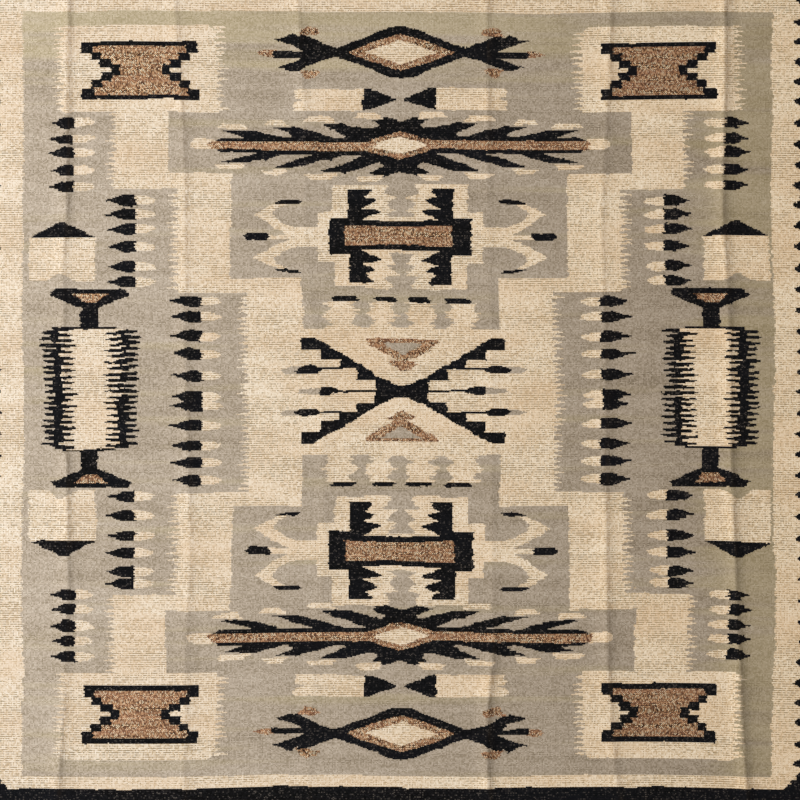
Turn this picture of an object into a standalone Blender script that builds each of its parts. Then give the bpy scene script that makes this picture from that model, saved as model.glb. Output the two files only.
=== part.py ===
"""A flat, tapestry-woven wool rug: one closed sheet of cloth, lying on the floor.

Metres, +Z up. The origin is the middle of the underside, at floor level. +X runs across the
warps, which is the rug's slightly longer way, and +Y runs along them. The cloth is one piece,
edges and all. What a step away shows of its shape is here: the wavering outline, the rounded
edge, and the soft ridges that old folds left across it. The sizes below are in millimetres.
"""

import math
from typing import NamedTuple

import bmesh
import bpy

MM = 0.001

# Driving sizes of the cloth, in millimetres.
CLOTH_ACROSS = 1198.0
CLOTH_ALONG = 1187.0
CLOTH_THICKNESS = 3.2
CORNER_RADIUS = 9.0

# How finely the sheet is divided, in millimetres between lines of points.
FLAT_SPACING_ACROSS = 62.0
FLAT_SPACING_ALONG = 60.0

# A line of points crosses a ridge at each of these shares of its slope, crest in the middle.
RIDGE_LINES = (-1.0, -0.56, -0.24, 0.0, 0.24, 0.56, 1.0)
# Rounded corners get lines at these shares of the corner radius, counted from the edge.
CORNER_LINES = (0.0, 0.45)
# The half-round edge has this many faces from the top of the cloth to its underside.
EDGE_FACES = 4

WOOL_COLOUR = (0.51, 0.42, 0.32, 1.0)
WOOL_ROUGHNESS = 0.95


class FoldRidge(NamedTuple):
    """A soft ridge from an old fold, running the whole way along the rug, in millimetres."""

    name: str
    x_far: float
    x_middle: float
    x_near: float
    height_far: float
    height_middle: float
    height_near: float
    left_slope: float
    right_slope: float


FOLD_RIDGES = (
    FoldRidge("left_border", -465.0, -472.0, -477.0, 3.6, 3.4, 3.8, 26.0, 13.0),
    FoldRidge("left_panel", -300.0, -297.0, -300.0, 2.6, 2.4, 2.6, 20.0, 24.0),
    FoldRidge("centre_left", -113.0, -113.0, -113.0, 1.2, 1.0, 1.2, 22.0, 22.0),
    FoldRidge("centre", -61.0, -61.0, -61.0, 1.0, 1.2, 1.0, 22.0, 22.0),
    FoldRidge("centre_right", 129.0, 127.0, 129.0, 1.0, 1.3, 3.2, 24.0, 15.0),
    FoldRidge("right_panel", 297.0, 299.0, 300.0, 3.0, 2.6, 3.0, 24.0, 16.0),
    FoldRidge("right_border", 464.0, 464.0, 485.0, 3.4, 3.2, 3.8, 26.0, 13.0),
)


class EdgeWaver(NamedTuple):
    """How far one edge strays from a straight line: two waves, in millimetres and radians."""

    name: str
    long_swing: float
    long_wave: float
    long_start: float
    short_swing: float
    short_wave: float
    short_start: float


LEFT_EDGE = EdgeWaver("left", 1.6, 1500.0, 0.9, 1.2, 430.0, 2.1)
RIGHT_EDGE = EdgeWaver("right", 2.6, 1100.0, 2.6, 1.4, 390.0, 0.4)
NEAR_EDGE = EdgeWaver("near", 2.4, 1350.0, 1.0, 1.3, 470.0, 3.0)
FAR_EDGE = EdgeWaver("far", 1.5, 1250.0, 4.0, 1.0, 410.0, 1.2)


def through_three(far: float, middle: float, near: float, share: float) -> float:
    """A smooth value that is near at share -1, middle at 0 and far at 1."""
    slope = (far - near) / 2
    bend = (far + near) / 2 - middle
    return middle + slope * share + bend * share * share


def ridge_centre(ridge: FoldRidge, v: float) -> float:
    """Where a ridge's crest crosses the line at v, in millimetres along X."""
    return through_three(ridge.x_far, ridge.x_middle, ridge.x_near, v / (CLOTH_ALONG / 2))


def ridge_height(ridge: FoldRidge, v: float) -> float:
    """How high a ridge stands at v, in millimetres."""
    share = v / (CLOTH_ALONG / 2)
    return through_three(ridge.height_far, ridge.height_middle, ridge.height_near, share)


def lift(u: float, v: float) -> float:
    """Height of the underside above the floor at a place on the cloth, in millimetres."""
    total = 0.0
    for ridge in FOLD_RIDGES:
        away = u - ridge_centre(ridge, v)
        slope = ridge.left_slope if away < 0 else ridge.right_slope
        share = min(abs(away) / slope, 1.0)
        total += ridge_height(ridge, v) * (1 - share * share) ** 2
    return total


def stray(edge: EdgeWaver, along: float) -> float:
    """How far an edge strays outward or inward at a place along it, in millimetres."""
    long_part = edge.long_swing * math.sin(math.tau * along / edge.long_wave + edge.long_start)
    short_part = edge.short_swing * math.sin(math.tau * along / edge.short_wave + edge.short_start)
    return long_part + short_part


def rounded_corner(u: float, v: float, half_u: float, half_v: float) -> tuple[float, float]:
    """Draw the four corner squares of the sheet in to quarter discs."""
    over_u = max(0.0, abs(u) - (half_u - CORNER_RADIUS)) / CORNER_RADIUS
    over_v = max(0.0, abs(v) - (half_v - CORNER_RADIUS)) / CORNER_RADIUS
    cut_u = over_u * (1 - math.sqrt(1 - over_v * over_v / 2)) * CORNER_RADIUS
    cut_v = over_v * (1 - math.sqrt(1 - over_u * over_u / 2)) * CORNER_RADIUS
    return u - math.copysign(cut_u, u), v - math.copysign(cut_v, v)


def lie(u: float, v: float) -> tuple[float, float, float]:
    """Where a place on the flat cloth comes to lie, at its underside, in millimetres."""
    share_u = (u / (CLOTH_ACROSS / 2) + 1) / 2
    share_v = (v / (CLOTH_ALONG / 2) + 1) / 2
    pull_u = (1 - share_u) * stray(LEFT_EDGE, v) + share_u * stray(RIGHT_EDGE, v)
    pull_v = (1 - share_v) * stray(NEAR_EDGE, u) + share_v * stray(FAR_EDGE, u)
    return u + pull_u, v + pull_v, lift(u, v)


def evenly(start: float, end: float, spans: int) -> list[float]:
    """The places that divide a stretch into equal spans, without its two ends."""
    return [start + (end - start) * i / spans for i in range(1, spans)]


def lines_along(half: float) -> list[float]:
    """Where the lines of points that run across the rug lie, along Y."""
    inner = half - CORNER_RADIUS
    ends = [half - CORNER_RADIUS * share for share in CORNER_LINES]
    spans = math.ceil(2 * inner / FLAT_SPACING_ALONG)
    middle = [-inner] + evenly(-inner, inner, spans) + [inner]
    return [-place for place in ends] + middle + ends[::-1]


def spans_between_ridges(half: float) -> list[int]:
    """How many spans each stretch between two ridges, or a ridge and an edge, is cut into."""
    inner = half - CORNER_RADIUS
    ends = [-inner]
    for ridge in FOLD_RIDGES:
        ends += [ridge.x_middle - ridge.left_slope, ridge.x_middle + ridge.right_slope]
    ends.append(inner)
    stretches = zip(ends[::2], ends[1::2])
    return [max(1, math.ceil((end - start) / FLAT_SPACING_ACROSS)) for start, end in stretches]


def lines_across(v: float, half: float, spans: list[int]) -> list[float]:
    """Where the lines of points that run along the rug cross the line at v, along X."""
    inner = half - CORNER_RADIUS
    corner = [half - CORNER_RADIUS * share for share in CORNER_LINES]
    places = [-place for place in corner] + [-inner]
    for ridge, count in zip(FOLD_RIDGES, spans):
        crest = ridge_centre(ridge, v)
        foot = crest - ridge.left_slope
        places += evenly(places[-1], foot, count)
        for share in RIDGE_LINES:
            slope = ridge.left_slope if share < 0 else ridge.right_slope
            places.append(crest + share * slope)
    places += evenly(places[-1], inner, spans[-1])
    return places + [inner] + corner[::-1]


def rim_order(rows: int, columns: int) -> list[tuple[int, int]]:
    """The grid places round the sheet's edge, anticlockwise as seen from above."""
    near = [(0, column) for column in range(columns - 1)]
    right = [(row, columns - 1) for row in range(rows - 1)]
    far = [(rows - 1, column) for column in range(columns - 1, 0, -1)]
    left = [(row, 0) for row in range(rows - 1, 0, -1)]
    return near + right + far + left


def outward(before: bmesh.types.BMVert, after: bmesh.types.BMVert) -> tuple[float, float]:
    """The level direction that points away from the cloth between two points of its rim."""
    along_x = after.co.x - before.co.x
    along_y = after.co.y - before.co.y
    length = math.hypot(along_x, along_y)
    return along_y / length, -along_x / length


def add_surface(mesh: bmesh.types.BMesh, height: float) -> list[list[bmesh.types.BMVert]]:
    """Add the points of the sheet's top or underside, inside the half-round edge."""
    edge_radius = CLOTH_THICKNESS / 2
    half_u = CLOTH_ACROSS / 2 - edge_radius
    half_v = CLOTH_ALONG / 2 - edge_radius
    spans = spans_between_ridges(half_u)
    rows = []
    for v in lines_along(half_v):
        row = []
        for u in lines_across(v, half_u, spans):
            x, y, z = lie(*rounded_corner(u, v, half_u, half_v))
            row.append(mesh.verts.new((x * MM, y * MM, (z + height) * MM)))
        rows.append(row)
    return rows


def add_faces(mesh: bmesh.types.BMesh, rows: list[list[bmesh.types.BMVert]], upward: bool) -> None:
    """Fill a grid of points with four-sided faces that look up or down."""
    for low, high in zip(rows, rows[1:]):
        for i in range(len(low) - 1):
            corners = [low[i], low[i + 1], high[i + 1], high[i]]
            mesh.faces.new(corners if upward else corners[::-1])


def add_edge(mesh: bmesh.types.BMesh, top: list[bmesh.types.BMVert],
             under: list[bmesh.types.BMVert]) -> None:
    """Close the sheet between its top and underside with a half-round edge."""
    radius = CLOTH_THICKNESS / 2 * MM
    count = len(top)
    rings = [top]
    for step in range(1, EDGE_FACES):
        angle = math.pi * (0.5 - step / EDGE_FACES)
        ring = []
        for i, point in enumerate(under):
            out_x, out_y = outward(under[i - 1], under[(i + 1) % count])
            reach = radius * math.cos(angle)
            rise = radius * (1 + math.sin(angle))
            place = (point.co.x + out_x * reach, point.co.y + out_y * reach, point.co.z + rise)
            ring.append(mesh.verts.new(place))
        rings.append(ring)
    rings.append(under)
    for upper, lower in zip(rings, rings[1:]):
        for i in range(count):
            after = (i + 1) % count
            mesh.faces.new((upper[i], lower[i], lower[after], upper[after]))


def wool_material() -> bpy.types.Material:
    """Plain wool in the rug's average colour."""
    material = bpy.data.materials.new("woven_wool")
    material.use_nodes = True
    shader = material.node_tree.nodes["Principled BSDF"]
    shader.inputs["Base Color"].default_value = WOOL_COLOUR
    shader.inputs["Roughness"].default_value = WOOL_ROUGHNESS
    shader.inputs["Metallic"].default_value = 0.0
    return material


def build_rug() -> bpy.types.Object:
    """Make the rug's one sheet of cloth."""
    mesh = bmesh.new()
    top = add_surface(mesh, CLOTH_THICKNESS)
    under = add_surface(mesh, 0.0)
    add_faces(mesh, top, upward=True)
    add_faces(mesh, under, upward=False)
    rim = rim_order(len(top), len(top[0]))
    add_edge(mesh, [top[r][c] for r, c in rim], [under[r][c] for r, c in rim])
    data = bpy.data.meshes.new("rug")
    mesh.to_mesh(data)
    mesh.free()
    data.shade_smooth()
    data.materials.append(wool_material())
    rug = bpy.data.objects.new("rug", data)
    bpy.context.scene.collection.objects.link(rug)
    return rug


def main() -> None:
    """Empty the scene and build the rug in it."""
    for old in list(bpy.data.objects):
        bpy.data.objects.remove(old, do_unlink=True)
    build_rug()


main()
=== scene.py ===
"""A flat, tapestry-woven wool rug with a storm pattern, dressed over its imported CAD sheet.

The rug is one cloth. Its pattern is worked out as a weaver's chart, square by square, and the
cloth's mesh is divided along the joins between the yarns, so each join is a real edge between
two wools. Sizes are in millimetres on the flat cloth, +X across the warps and +Y along them,
until a mesh is made of them in metres.
"""

from __future__ import annotations

import logging
import math
from dataclasses import dataclass, field
from enum import IntEnum
from typing import Any, Iterator, NamedTuple

import bpy
import numpy as np
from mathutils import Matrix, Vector
from mathutils.geometry import delaunay_2d_cdt


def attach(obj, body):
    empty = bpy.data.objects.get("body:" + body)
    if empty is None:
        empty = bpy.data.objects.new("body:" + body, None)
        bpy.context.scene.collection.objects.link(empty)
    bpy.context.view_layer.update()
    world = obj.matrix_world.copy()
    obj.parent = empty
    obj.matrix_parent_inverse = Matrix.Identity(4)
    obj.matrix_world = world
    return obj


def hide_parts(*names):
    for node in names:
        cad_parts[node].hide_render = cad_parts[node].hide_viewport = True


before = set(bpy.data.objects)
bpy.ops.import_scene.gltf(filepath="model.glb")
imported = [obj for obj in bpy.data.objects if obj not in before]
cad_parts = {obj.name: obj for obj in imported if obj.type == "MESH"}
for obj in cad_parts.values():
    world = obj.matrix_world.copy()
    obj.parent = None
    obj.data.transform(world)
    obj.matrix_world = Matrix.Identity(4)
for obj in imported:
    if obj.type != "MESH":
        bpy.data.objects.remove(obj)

MM = 0.001
CAD_NODE = "rug"
CAD_BODY = "root"
BAKE_MAP = "OFBake"
WEAVE_MAP = "weave"
SOIL_AND_SHADE_LAYER = "soil_and_shade"
CLOTH_ACROSS = 1198.0
CLOTH_ALONG = 1187.0

Point = tuple[float, float]
Outline = tuple[Point, ...]
BOTH_WAYS = (1, -1)

# The colour sockets of a mix node, whose names its other kinds of value share.
MIX_FACTOR = 0
MIX_A = 6
MIX_B = 7
MIX_RESULT = 2

log = logging.getLogger("rug")


class Yarn(IntEnum):
    """The four wools of the rug. A yarn's number is its material's place on the cloth."""

    CREAM = 0
    GREY = 1
    BLACK = 2
    BROWN = 3


# The cloth and the weaver's chart


class Knot(NamedTuple):
    """A point of a fold's crest: its place on the cloth, its height, and the dirt and painted shade
    along it.
    """

    along: float
    across: float
    height: float
    soil_and_shade: float


@dataclass(frozen=True)
class Fold:
    """A crease from an old fold, running the whole way along the rug.

    Its knots run from the near edge to the far one. It rises slowly from the left, is sharpest
    at the crest, and falls away on the right, where dirt and painted shade darken its flank.
    """

    knots: tuple[Knot, ...]
    left_slope: float
    right_slope: float
    crest_radius: float = 1.6
    # The band of dirt and painted shade lies this far right of the crest, and this wide.
    soil_and_shade_away: float = 3.0
    soil_and_shade_width: float = 3.2

    def between(self, v: np.ndarray, part: int) -> np.ndarray:
        """One of the knots' numbers, carried along the rug from knot to knot."""
        return np.interp(v, [knot.along for knot in self.knots],
                         [knot[part] for knot in self.knots])

    def rise(self, u: np.ndarray, v: np.ndarray) -> np.ndarray:
        """How much the fold lifts the cloth.

        Args:
            u: Places across the flat cloth.
            v: Places along it.

        Returns:
            The lift at each place, in millimetres.
        """
        away = u - self.between(v, 1)
        slope = np.where(away < 0, self.left_slope, self.right_slope)
        softened = np.hypot(away, self.crest_radius) - self.crest_radius
        return self.between(v, 2) * (1 - np.minimum(softened / slope, 1.0)) ** 2

    def soil_and_shade(self, u: np.ndarray, v: np.ndarray) -> np.ndarray:
        """How much dirt and painted shade darken the fold's right flank, from 0 to about 1.

        Args:
            u: Places across the flat cloth.
            v: Places along it.

        Returns:
            The soil at each place.
        """
        away = (u - self.between(v, 1) - self.soil_and_shade_away) / self.soil_and_shade_width
        return self.between(v, 3) * np.exp(-away * away)


@dataclass(frozen=True)
class EdgeWaver:
    """How one edge strays from a straight line: two waves, in millimetres and radians."""

    long_swing: float
    long_wave: float
    long_start: float
    short_swing: float
    short_wave: float
    short_start: float

    def stray(self, along: np.ndarray) -> np.ndarray:
        """How far the edge strays at places along it, in millimetres."""
        long_part = self.long_swing * np.sin(math.tau * along / self.long_wave + self.long_start)
        short_turn = math.tau * along / self.short_wave + self.short_start
        return long_part + self.short_swing * np.sin(short_turn)


@dataclass(frozen=True)
class Cloth:
    """The shape of the cloth.

    Its width, length, thickness, corners and edges are the CAD sheet's. Its folds are drawn
    more closely than the sheet's plain ridges.
    """

    across: float = CLOTH_ACROSS
    along: float = CLOTH_ALONG
    thickness: float = 3.2
    corner_radius: float = 9.0
    folds: tuple[Fold, ...] = (
        Fold((Knot(-590, -480, 1.0, 0.5), Knot(-519, -477, 2.4, 0.6), Knot(-470, -474, 1.2, 0.5),
              Knot(-400, -469, 1.0, 0.4), Knot(-272, -464.5, 2.0, 0.4),
              Knot(-166, -467, 2.0, 0.5), Knot(-96, -469, 2.4, 0.7), Knot(-60, -473, 1.2, 0.3),
              Knot(186, -473, 1.4, 0.3), Knot(257, -468, 2.3, 0.8), Knot(330, -469, 2.3, 0.8),
              Knot(468, -467, 1.3, 0.7), Knot(590, -463, 1.9, 0.9)), 26.0, 14.0),
        Fold((Knot(-590, -301, 0.7, 0.3), Knot(-360, -300, 1.2, 0.5), Knot(-225, -293, 0.7, 0.4),
              Knot(-120, -297, 1.9, 0.4), Knot(80, -303, 1.9, 0.4), Knot(160, -300, 0.8, 0.4),
              Knot(320, -302, 1.0, 0.7),
              Knot(470, -310, 1.2, 0.8), Knot(590, -317, 1.0, 0.6)), 22.0, 22.0),
        Fold((Knot(-590, -125, 0.6, 0.2), Knot(-400, -121, 0.6, 0.1), Knot(-240, -103, 0.4, 0.1),
              Knot(0, -110, 0.7, 0.1), Knot(200, -130, 0.4, 0.1), Knot(400, -132, 0.8, 0.1),
              Knot(470, -138, 2.3, 0.2), Knot(590, -141, 0.6, 0.3)), 20.0, 18.0),
        Fold((Knot(-590, 131, 2.4, 0.5), Knot(-519, 127, 3.0, 0.8), Knot(-448, 126, 3.2, 0.7),
              Knot(-343, 134, 2.4, 0.6), Knot(-310, 132, 0.6, 0.2), Knot(0, 131, 0.6, 0.1),
              Knot(280, 128, 0.5, 0.1), Knot(330, 128, 1.7, 0.4), Knot(480, 125, 1.3, 0.6),
              Knot(590, 127, 1.1, 0.5)), 22.0, 15.0),
        Fold((Knot(-590, 316, 1.0, 0.6), Knot(-519, 307, 1.4, 0.6), Knot(-448, 299, 1.3, 0.7),
              Knot(-378, 294, 2.5, 0.8), Knot(-300, 292, 2.2, 0.7), Knot(-60, 291, 1.4, 0.5),
              Knot(257, 289, 1.0, 0.4), Knot(398, 295, 1.5, 0.6), Knot(560, 301, 1.6, 0.8),
              Knot(590, 301, 1.6, 0.8)), 24.0, 18.0),
        Fold((Knot(-590, 496, 3.7, 0.5), Knot(-448, 484, 3.9, 0.6), Knot(-307, 474, 3.3, 0.5),
              Knot(-166, 470, 3.3, 0.4), Knot(-61, 467, 3.4, 0.5), Knot(151, 464, 2.6, 0.3),
              Knot(257, 460, 3.3, 0.6), Knot(590, 461, 2.9, 0.8)), 22.0, 18.0),
    )
    left: EdgeWaver = EdgeWaver(1.6, 1500.0, 0.9, 1.2, 430.0, 2.1)
    right: EdgeWaver = EdgeWaver(2.6, 1100.0, 2.6, 1.4, 390.0, 0.4)
    near: EdgeWaver = EdgeWaver(2.4, 1350.0, 1.0, 1.3, 470.0, 3.0)
    far: EdgeWaver = EdgeWaver(1.5, 1250.0, 4.0, 1.0, 410.0, 1.2)

    @property
    def edge_radius(self) -> float:
        """The radius of the half-round edge."""
        return self.thickness / 2

    @property
    def face_across(self) -> float:
        """How wide the top is, inside the half-round edge."""
        return self.across - self.thickness

    @property
    def face_along(self) -> float:
        """How long the top is, inside the half-round edge."""
        return self.along - self.thickness

    def rounded_corner(self, u: np.ndarray, v: np.ndarray) -> tuple[np.ndarray, np.ndarray]:
        """Draw the four corner squares of the sheet in to quarter discs.

        Args:
            u: Places across the flat cloth.
            v: Places along the flat cloth.

        Returns:
            The places after the corners are rounded.
        """
        radius = self.corner_radius
        over_u = np.maximum(np.abs(u) - (self.face_across / 2 - radius), 0.0) / radius
        over_v = np.maximum(np.abs(v) - (self.face_along / 2 - radius), 0.0) / radius
        cut_u = over_u * (1 - np.sqrt(1 - over_v * over_v / 2)) * radius
        cut_v = over_v * (1 - np.sqrt(1 - over_u * over_u / 2)) * radius
        return u - np.copysign(cut_u, u), v - np.copysign(cut_v, v)

    def lie(self, u: np.ndarray, v: np.ndarray) -> np.ndarray:
        """Where places on the flat cloth come to lie, at its underside.

        Args:
            u: Places across the flat cloth.
            v: Places along the flat cloth.

        Returns:
            One row of x, y and z for each place, in millimetres.
        """
        u, v = self.rounded_corner(u, v)
        share_u = (u / (self.across / 2) + 1) / 2
        share_v = (v / (self.along / 2) + 1) / 2
        pull_u = (1 - share_u) * self.left.stray(v) + share_u * self.right.stray(v)
        pull_v = (1 - share_v) * self.near.stray(u) + share_v * self.far.stray(u)
        lift = sum(fold.rise(u, v) for fold in self.folds)
        return np.column_stack((u + pull_u, v + pull_v, lift))


@dataclass(frozen=True)
class Place:
    """Where a motif goes on the cloth, and which way round.

    face_x and face_y are 1 or -1. A motif's own numbers count away from the rug's middle.
    """

    x: float = 0.0
    y: float = 0.0
    face_x: int = 1
    face_y: int = 1
    stretch: float = 1.0

    def at(self, point: Point) -> Point:
        """A point of the motif, on the cloth."""
        across = self.x + self.face_x * point[0]
        return across, self.y + self.face_y * self.stretch * point[1]

    def within(self, x: float, y: float) -> Place:
        """A place that is x, y from this one and faces the same way."""
        at_x, at_y = self.at((x, y))
        return Place(at_x, at_y, self.face_x, self.face_y, self.stretch)

    def turned(self, face_x: int, face_y: int) -> Place:
        """The same place, mirrored across or along where the number is -1."""
        return Place(self.x, self.y, self.face_x * face_x, self.face_y * face_y, self.stretch)


@dataclass
class Chart:
    """The weaver's chart: which yarn shows at each half warp and each pick.

    Two yarns meet on a warp, so a join stands at a half warp and can only step at a pick. A
    slanted line is a flight of such steps, a little uneven, as hands beat them in.
    """

    across: float
    along: float
    warp: float = 3.66
    pick: float = 1.55
    seed: int = 7
    turn_strays: tuple[tuple[Point, float], ...] = (((24.0, 3.1), 1.2), ((130.0, 110.0), 1.3))
    beat_strays: tuple[tuple[Point, float], ...] = (((16.0, 6.0), 0.7), ((150.0, 90.0), 1.5))
    columns: int = field(init=False)
    rows: int = field(init=False)
    half_warp: float = field(init=False)
    cells: np.ndarray = field(init=False)
    chance: np.random.Generator = field(init=False)

    def __post_init__(self) -> None:
        """Size the chart and fill it with the black of the outer border."""
        self.columns = round(self.across / (self.warp / 2))
        self.rows = round(self.along / self.pick)
        self.half_warp = self.across / self.columns
        self.pick = self.along / self.rows
        self.cells = np.full((self.rows, self.columns), Yarn.BLACK, dtype=np.int8)
        self.chance = np.random.default_rng(self.seed)

    def column(self, x: float) -> int:
        """The half-warp line nearest to a place across the cloth."""
        return min(max(round((x + self.across / 2) / self.half_warp), 0), self.columns)

    def row(self, y: float) -> float:
        """The pick that a place along the cloth falls in, counted from the near edge."""
        return (y + self.along / 2) / self.pick

    def run(self, yarn: Yarn, row: int, x_from: float, x_to: float) -> None:
        """Lay one pick of a yarn between two places across the cloth."""
        if 0 <= row < self.rows:
            ends = sorted((self.column(x_from), self.column(x_to)))
            self.cells[row, ends[0]:ends[1]] = yarn

    def weave(self, yarn: Yarn, outline: Outline, place: Place, ragged: float = 1.0) -> None:
        """Fill an outline with a yarn, pick by pick.

        Args:
            yarn: The yarn to fill with.
            outline: The corners of the shape, in the motif's own millimetres.
            place: Where the motif goes.
            ragged: How far a slanted side strays at each pick.
        """
        points = [place.at(point) for point in outline]
        sides = list(zip(points, points[1:] + points[:1]))
        first = max(math.ceil(self.row(min(y for _, y in points)) - 0.5), 0)
        after = min(math.ceil(self.row(max(y for _, y in points)) - 0.5), self.rows)
        if first == after:
            across = [x for x, _ in points]
            self.run(yarn, first, min(across), max(across))
        strays = [0.0] * len(sides)
        for row in range(first, after):
            y = (row + 0.5) * self.pick - self.along / 2
            crossings = []
            for index, ((x0, y0), (x1, y1)) in enumerate(sides):
                if (y0 <= y) == (y1 <= y):
                    continue
                crossing = x0 + (y - y0) / (y1 - y0) * (x1 - x0)
                if abs(x1 - x0) * 4 > abs(y1 - y0):
                    if self.chance.random() < 0.55:
                        strays[index] = self.chance.uniform(-ragged, ragged)
                    crossing += strays[index]
                crossings.append(crossing)
            crossings.sort()
            for x_from, x_to in zip(crossings[::2], crossings[1::2]):
                self.run(yarn, row, x_from, x_to)

    def block(self, yarn: Yarn, x: Point, y: Point, place: Place) -> None:
        """Fill a straight-sided block between two places across and two along."""
        self.weave(yarn, ((x[0], y[0]), (x[1], y[0]), (x[1], y[1]), (x[0], y[1])), place)

    def span(self, place: Place, y: Point) -> Point:
        """A stretch along the cloth from its lower to its higher end."""
        ends = sorted((place.at((0.0, y[0]))[1], place.at((0.0, y[1]))[1]))
        return ends[0], ends[1]

    def drift(self, patch: Point, swing: float) -> np.ndarray:
        """Draw a soft random field over the chart.

        Args:
            patch: How wide and how deep its patches are, in millimetres.
            swing: The furthest it goes either way, in cells.

        Returns:
            A whole number of cells for each cell of the chart.
        """
        across = round(self.across / patch[0]) + 2
        along = round(self.along / patch[1]) + 2
        knots = self.chance.uniform(-swing, swing, (along, across))
        at = np.linspace(0, across - 1, self.columns)
        wide = np.array([np.interp(at, np.arange(across), line) for line in knots])
        at = np.linspace(0, along - 1, self.rows)
        whole = np.array([np.interp(at, np.arange(along), line) for line in wide.T]).T
        return np.rint(whole).astype(int)

    def beat_in(self) -> None:
        """Let every join stray a little, since no hand turns or beats each weft alike."""
        row, column = np.indices(self.cells.shape)
        for patch, swing in self.turn_strays:
            column += self.drift(patch, swing)
        for patch, swing in self.beat_strays:
            row += self.drift(patch, swing)
        row = np.clip(row, 0, self.rows - 1)
        self.cells = self.cells[row, np.clip(column, 0, self.columns - 1)]


@dataclass(frozen=True)
class Dovetail:
    """Fingers of yarn that run past an upright join, as the weaver locks two colours."""

    x: float
    y: Point
    reach: float = 12.5
    pitch: float = 7.2
    profile: tuple[float, ...] = (0.4, 1.0, 0.6)

    def weave(self, chart: Chart, yarn: Yarn, place: Place) -> None:
        """Lay the fingers on the chart, each a few picks thick.

        Args:
            chart: The chart to work on.
            yarn: The fingers' yarn.
            place: Where the motif goes.
        """
        y, end = chart.span(place, self.y)
        base = place.at((self.x, 0.0))[0]
        while y < end:
            length = self.reach * place.face_x * chart.chance.uniform(0.6, 1.25)
            root = base - math.copysign(chart.half_warp, length)
            row = math.floor(chart.row(y))
            for step, share in enumerate(self.profile):
                chart.run(yarn, row + step, root, base + length * share)
            y += self.pitch * chart.chance.uniform(0.75, 1.3)


# The motifs of the storm pattern


@dataclass(frozen=True)
class Borders:
    """The black outer border, the cream one inside it, and the grey field."""

    cream_half: Point = (573.0, 560.0)
    cream_shift: Point = (-1.0, 3.0)
    field_half: Point = (530.0, 539.0)
    tooth: Outline = ((0, -7.5), (0, 7.5), (-5, 5), (-9, 2.8), (-12, 1), (-12, -1), (-9, -2.8),
                      (-5, -5))
    tooth_pitch: float = 29.1
    tooth_count: int = 37
    near_corner: Outline = ((-27, 0), (0, 0), (0, -26), (-8, -20), (-8, -15), (-15, -15),
                            (-15, -9), (-21, -9), (-21, -5))
    far_corner: Outline = ((-16, 0), (0, 0), (0, -15), (-5, -11), (-5, -8), (-10, -8), (-10, -4))

    def weave(self, chart: Chart, place: Place) -> None:
        """Lay both borders and the field on the chart."""
        outer = place.within(*self.cream_shift)
        half_x, half_y = self.cream_half
        chart.block(Yarn.CREAM, (-half_x, half_x), (-half_y, half_y), outer)
        for face_x in BOTH_WAYS:
            for face_y, outline in ((1, self.far_corner), (-1, self.near_corner)):
                corner = outer.turned(face_x, face_y).within(half_x, half_y)
                chart.weave(Yarn.BLACK, outline, corner)
            side = outer.turned(face_x, 1)
            for index in range(self.tooth_count):
                y = (index - (self.tooth_count - 1) / 2) * self.tooth_pitch
                y += chart.chance.uniform(-1.5, 1.5)
                chart.weave(Yarn.BLACK, self.tooth, side.within(half_x, y))
        half_x, half_y = self.field_half
        chart.block(Yarn.GREY, (-half_x, half_x), (-half_y, half_y), place)


@dataclass(frozen=True)
class Hourglass:
    """The stepped hourglass of brown in each corner box, edged in black.

    A step is how far up it starts and ends, and its half width.
    """

    black_steps: tuple[tuple[float, float, float], ...] = (
        (0, 3, 42.5), (3, 14, 56.5), (14, 25.5, 69), (25.5, 41.5, 82))
    brown_steps: tuple[tuple[float, float, float], ...] = (
        (0, 7.5, 29), (7.5, 15.5, 41), (15.5, 24.5, 54), (24.5, 34.5, 66))

    def weave(self, chart: Chart, place: Place) -> None:
        """Lay the hourglass on the chart."""
        for face_y in BOTH_WAYS:
            half = place.turned(1, face_y)
            for low, high, width in self.black_steps:
                chart.block(Yarn.BLACK, (-width, width), (low, high), half)
            for low, high, width in self.brown_steps:
                chart.block(Yarn.BROWN, (-width, width), (low, high), half)


@dataclass(frozen=True)
class CornerBox:
    """The cream box in each corner of the field, with fingers on its upright sides."""

    box: Outline = ((258, 394), (474, 394), (474, 517.5), (268, 517.5), (262, 512), (258, 502))
    outer: Dovetail = Dovetail(474.0, (397.0, 514.0), 14.0, 6.4)
    inner: Dovetail = Dovetail(258.0, (399.0, 512.0), -14.0, 7.6, (0.35, 1.0, 0.7))
    hourglass: Hourglass = Hourglass()
    hourglass_at: Point = (366.0, 453.0)

    def weave(self, chart: Chart, place: Place) -> None:
        """Lay the box and its hourglass on the chart."""
        chart.weave(Yarn.CREAM, self.box, place)
        self.outer.weave(chart, Yarn.CREAM, place)
        self.inner.weave(chart, Yarn.CREAM, place)
        self.hourglass.weave(chart, place.within(*self.hourglass_at))


@dataclass(frozen=True)
class Terrace:
    """The cream terrace that comes down from a corner box to the middle, in three columns."""

    blocks: tuple[tuple[Point, Point], ...] = (
        ((328.5, 402), (285.5, 396)),
        ((238, 402), (285.5, 308)),
        ((238, 313), (141.5, 308)),
        ((139.5, 313), (141.5, 161.5)),
        ((139.5, 216), (0, 161.5)),
        ((0, 216), (0, 89.5)),
    )
    fingers: tuple[Dovetail, ...] = (
        Dovetail(402.0, (290.0, 392.0)),
        Dovetail(313.0, (147.0, 281.0), 14.0),
        Dovetail(216.0, (0.0, 138.0)),
    )

    def weave(self, chart: Chart, place: Place) -> None:
        """Lay the terrace on the chart."""
        for x, y in self.blocks:
            chart.block(Yarn.CREAM, x, y, place)
        for fingers in self.fingers:
            fingers.weave(chart, Yarn.CREAM, place)


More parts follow.
